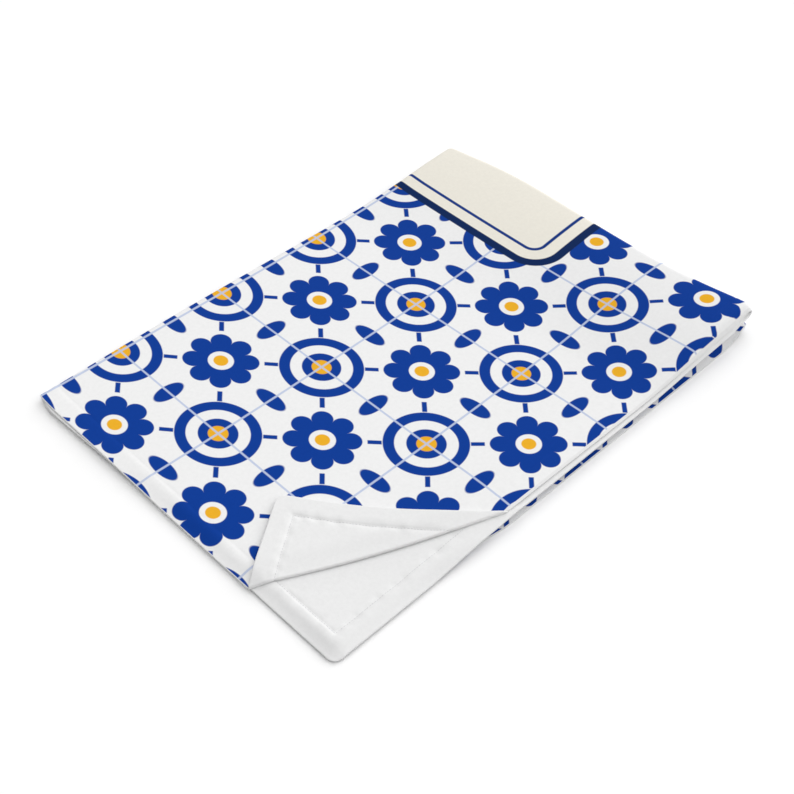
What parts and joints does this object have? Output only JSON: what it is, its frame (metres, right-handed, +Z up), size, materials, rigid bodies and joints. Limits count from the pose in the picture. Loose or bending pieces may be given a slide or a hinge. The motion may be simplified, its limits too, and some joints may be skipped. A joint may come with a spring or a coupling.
{
  "type": "folded throw blanket",
  "caption": "Hemmed plush throw with a blue and yellow tile print and a white reverse, folded in quarter with one corner turned back.",
  "frame": {"origin": "centre of the footprint, on the surface that the throw lies on", "axes": "+X along the folded throw towards its far double fold, +Y towards its long fold, +Z up"},
  "size_m": [0.9015, 0.658, 0.052],
  "materials": {
    "printed_plush": "matte"
  },
  "bodies": {
    "root": {"blanket": "printed_plush"}
  },
  "joints": []
}
